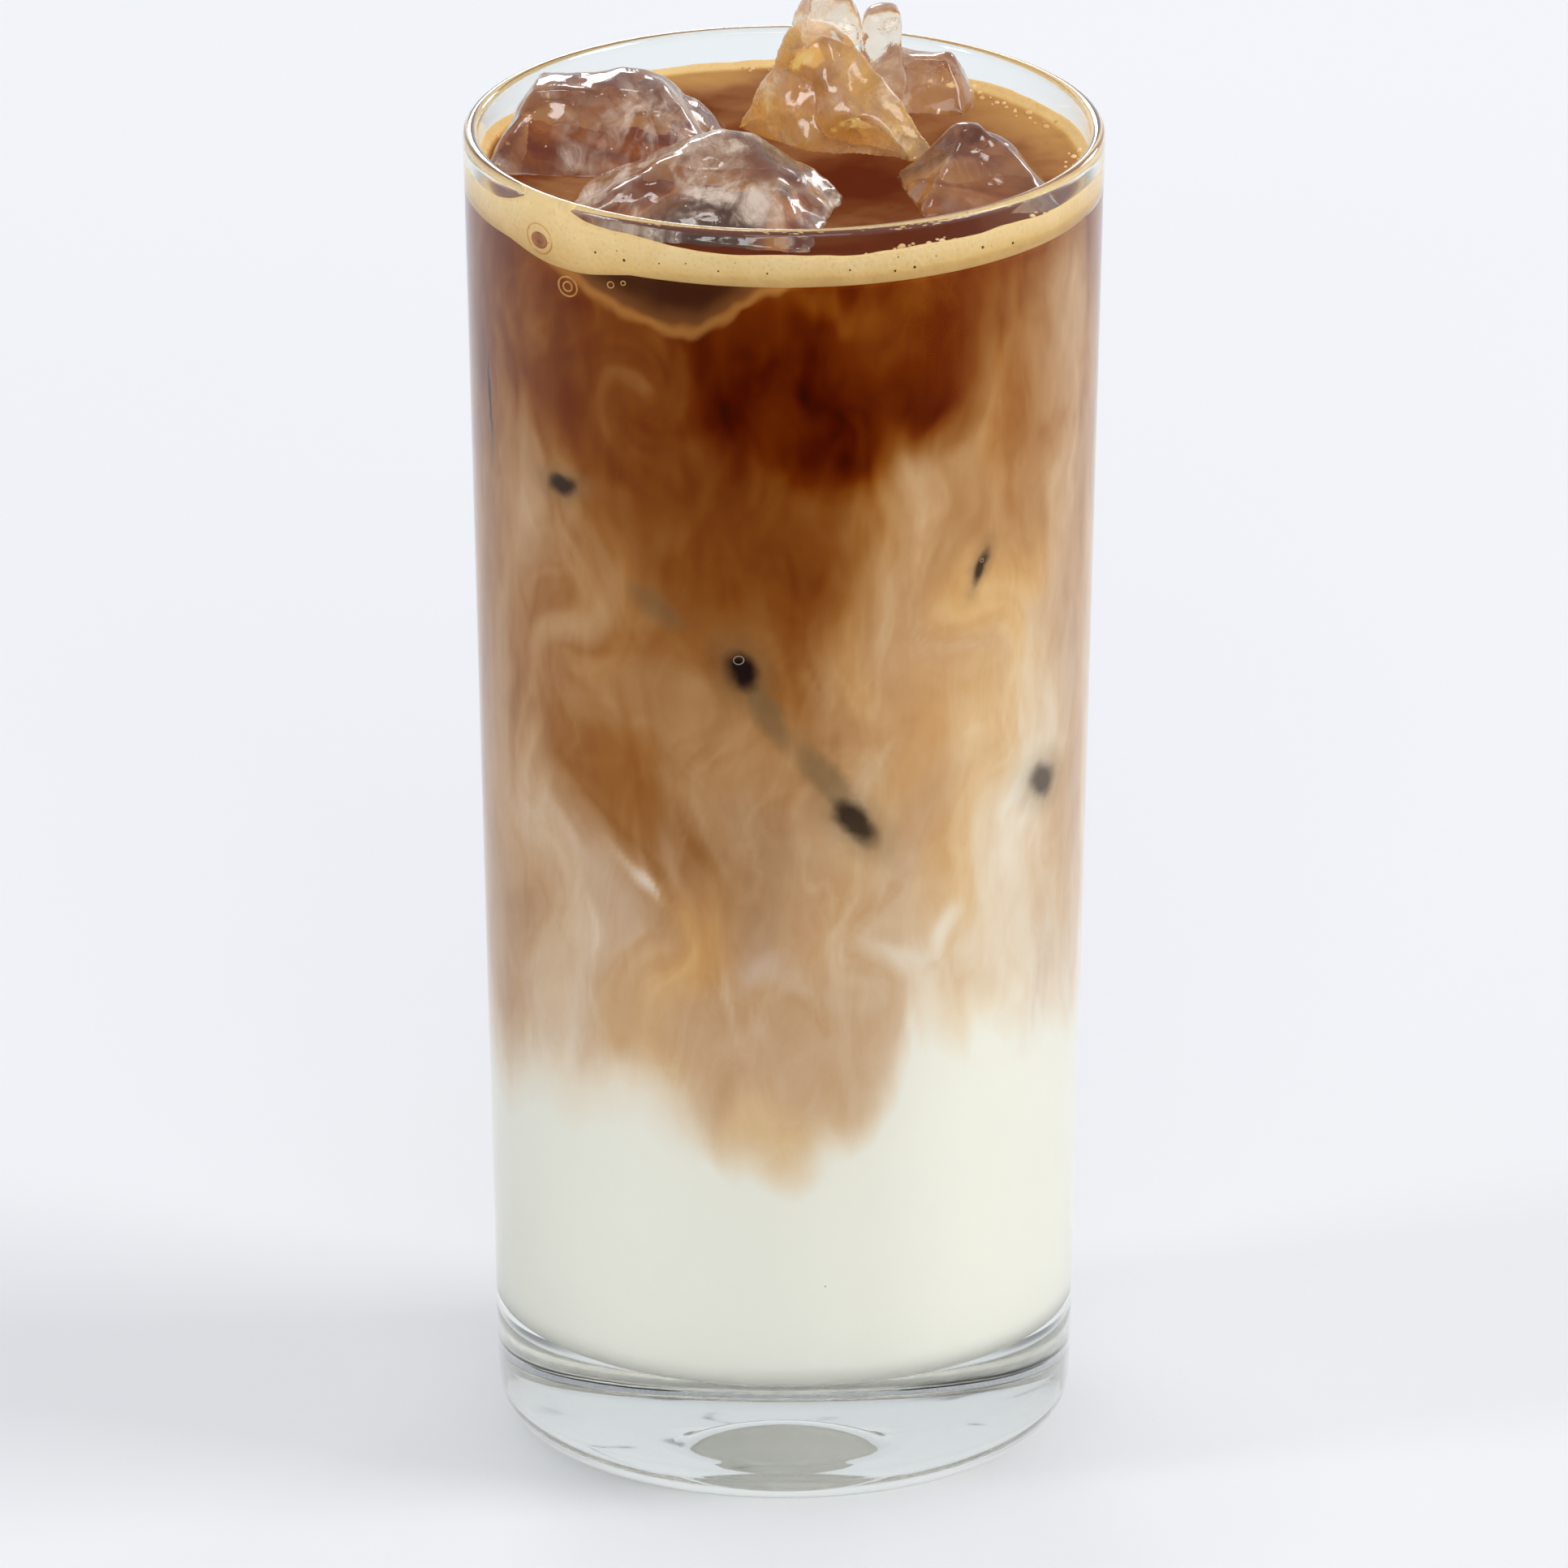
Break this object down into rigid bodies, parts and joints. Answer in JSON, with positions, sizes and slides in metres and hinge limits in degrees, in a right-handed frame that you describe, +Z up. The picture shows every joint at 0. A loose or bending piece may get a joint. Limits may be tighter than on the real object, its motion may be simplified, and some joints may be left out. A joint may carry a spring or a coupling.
{
  "type": "iced latte in a glass",
  "caption": "Tall straight tumbler with a thick base, filled with milk under espresso and a thin crema, with lumps of ice that stand out of the drink.",
  "frame": {"origin": "centre of the foot, on the surface that the glass stands on", "axes": "+Z up along the glass's axis, -Y towards the front"},
  "size_m": [0.072, 0.072, 0.1666],
  "materials": {
    "glass": "clear, polished",
    "milk": "opaque white milk",
    "latte": "milk and coffee in marbled plumes",
    "espresso": "dark, clear brown coffee",
    "crema": "fine golden foam",
    "ice": "wet, cracked ice stained by coffee"
  },
  "bodies": {
    "root": {"glass": "glass", "milk": "milk", "latte": "latte", "espresso": "espresso", "crema": "crema", "ice_left": "ice", "ice_front": "ice", "ice_centre": "ice", "ice_right": "ice", "ice_back": "ice", "ice_top": "ice", "ice_chip": "ice"}
  },
  "joints": []
}
